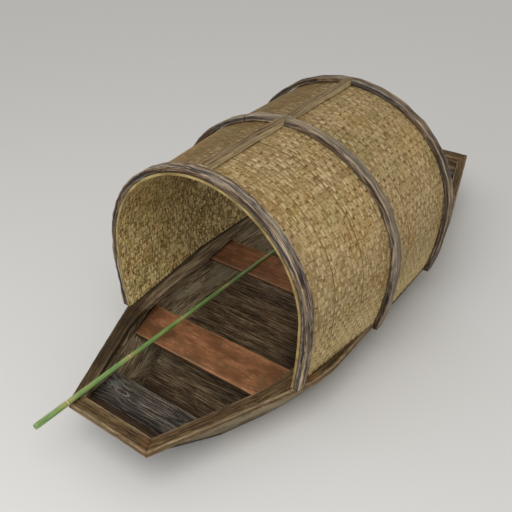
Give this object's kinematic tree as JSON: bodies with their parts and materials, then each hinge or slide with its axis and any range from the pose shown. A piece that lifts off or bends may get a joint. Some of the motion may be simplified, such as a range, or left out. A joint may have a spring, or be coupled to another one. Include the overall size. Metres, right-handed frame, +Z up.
{
  "type": "flat-bottomed canopy boat",
  "caption": "Small flat-bottomed wooden river boat with flared sides, sloping ends and a barrel canopy of woven bamboo matting on bent wooden hoops.",
  "frame": {"origin": "middle of the flat bottom's underside, on the centreline, amidships", "axes": "+Z up, -Y towards the bow, +X towards the port side"},
  "size_m": [1.5206, 4.0886, 1.4099],
  "materials": {
    "bottom_wood": "dark, wet-stained, rough",
    "side_wood": "weathered, lengthwise grain",
    "gunwale_wood": "weathered, worn pale at the edges",
    "thwart_wood": "reddish brown, worn smooth",
    "deck_wood": "silver grey, cracked grain with a knot",
    "bamboo_mat": "woven strips, dull straw yellow",
    "hoop_wood": "weathered grey-brown, dark streaks",
    "ridge_wood": "weathered, square sawn",
    "pole_bamboo": "green skin with pale node rings"
  },
  "bodies": {
    "hull": {"bottom_planks": "bottom_wood", "bow_ramp_planks": "bottom_wood", "stern_ramp_planks": "bottom_wood", "side_plank_port": "side_wood", "side_plank_starboard": "side_wood", "chine_logs": "side_wood", "thwart_cleats": "side_wood", "bow_beam": "side_wood", "stern_beam": "side_wood", "gunwale_port": "gunwale_wood", "gunwale_starboard": "gunwale_wood", "bow_rim": "gunwale_wood", "stern_rim": "gunwale_wood", "thwart_front": "thwart_wood", "thwart_middle": "thwart_wood", "thwart_rear": "thwart_wood", "bow_deck": "deck_wood", "stern_deck": "deck_wood", "mat_front": "bamboo_mat", "mat_rear": "bamboo_mat", "hoop_front": "hoop_wood", "hoop_middle": "hoop_wood", "hoop_rear": "hoop_wood", "ridge_front": "ridge_wood", "ridge_rear": "ridge_wood"},
    "pole": {"punt_pole": "pole_bamboo"}
  },
  "joints": [
    {"name": "pole_slide", "type": "slide", "parent": "hull", "child": "pole", "axis": [0.0181, -0.9992, 0.0349], "range_m": [0, 0.4]}
  ]
}
